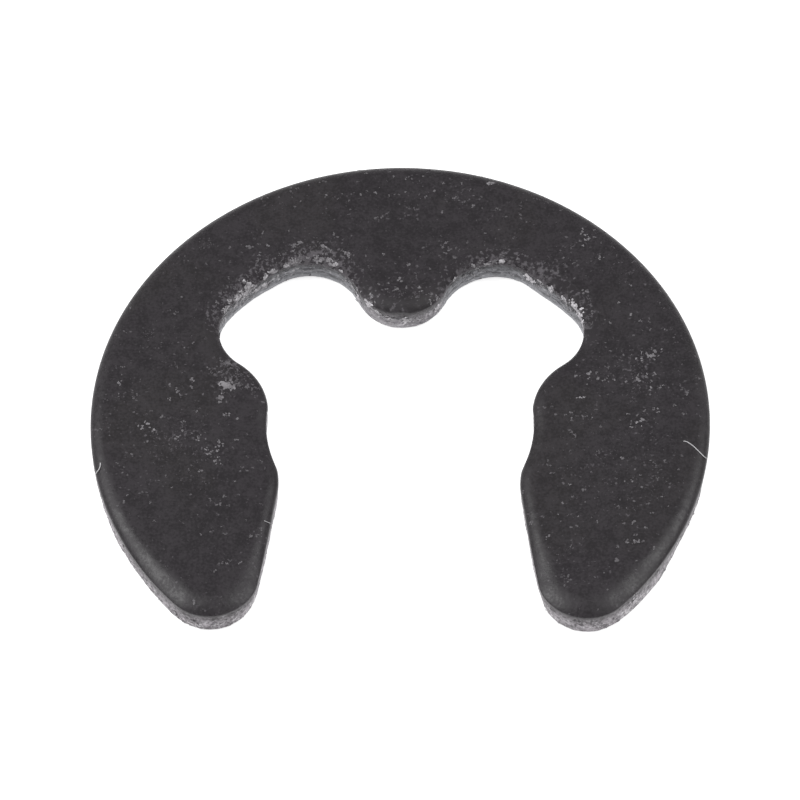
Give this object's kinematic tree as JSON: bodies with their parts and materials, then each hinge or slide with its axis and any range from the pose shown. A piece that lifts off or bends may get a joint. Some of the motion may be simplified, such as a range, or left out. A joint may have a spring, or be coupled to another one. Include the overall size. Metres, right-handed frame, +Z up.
{
  "type": "e-clip",
  "caption": "Flat E-shaped retaining clip with a centre lug and open mouth, pushed sideways into a shaft groove.",
  "frame": {"origin": "on the axis of the shaft seat, at the clip's flat underside", "axes": "+Z up through the thickness towards the rolled edge, +Y from the mouth towards the centre lug, +X to the right across the ring"},
  "size_m": [0.011, 0.0096, 0.0006],
  "materials": {
    "phosphated_steel": "satin"
  },
  "bodies": {
    "root": {"clip": "phosphated_steel"}
  },
  "joints": []
}
